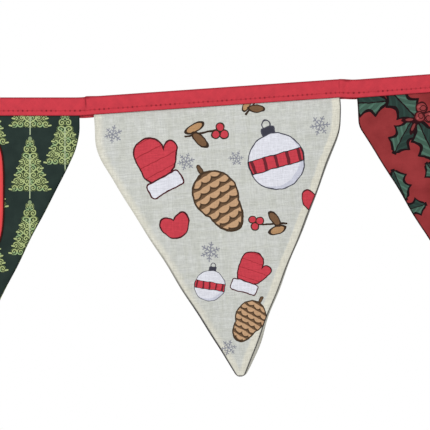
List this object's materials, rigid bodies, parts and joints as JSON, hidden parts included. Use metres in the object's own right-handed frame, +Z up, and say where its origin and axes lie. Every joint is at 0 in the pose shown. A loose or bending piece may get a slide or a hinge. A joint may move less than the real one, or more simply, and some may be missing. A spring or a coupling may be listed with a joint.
{
  "type": "fabric bunting",
  "caption": "String of pointed fabric pennants sewn into a folded tape binding, hung up by its top edge.",
  "frame": {"origin": "on the binding's top fold, above the middle of the cream pennant", "axes": "+X along the string to the right seen from the front, +Y out of the back, +Z up; the front faces -Y"},
  "size_m": [0.7225, 0.0099, 0.2295],
  "materials": {
    "red_tape": "matt woven cotton bias tape",
    "green_cotton": "matt woven cotton, dark green with a pale green printed repeat",
    "cream_cotton": "matt slubbed cotton, cream with printed motifs",
    "dark_red_cotton": "matt woven cotton, dark red with printed holly",
    "patch_cotton": "matt woven cotton with a dark stitched border"
  },
  "bodies": {
    "root": {"binding": "red_tape", "pennant_green_front": "green_cotton", "pennant_green_back": "green_cotton", "pennant_cream_front": "cream_cotton", "pennant_cream_back": "cream_cotton", "pennant_red_front": "dark_red_cotton", "pennant_red_back": "dark_red_cotton", "patch": "patch_cotton"}
  },
  "joints": []
}
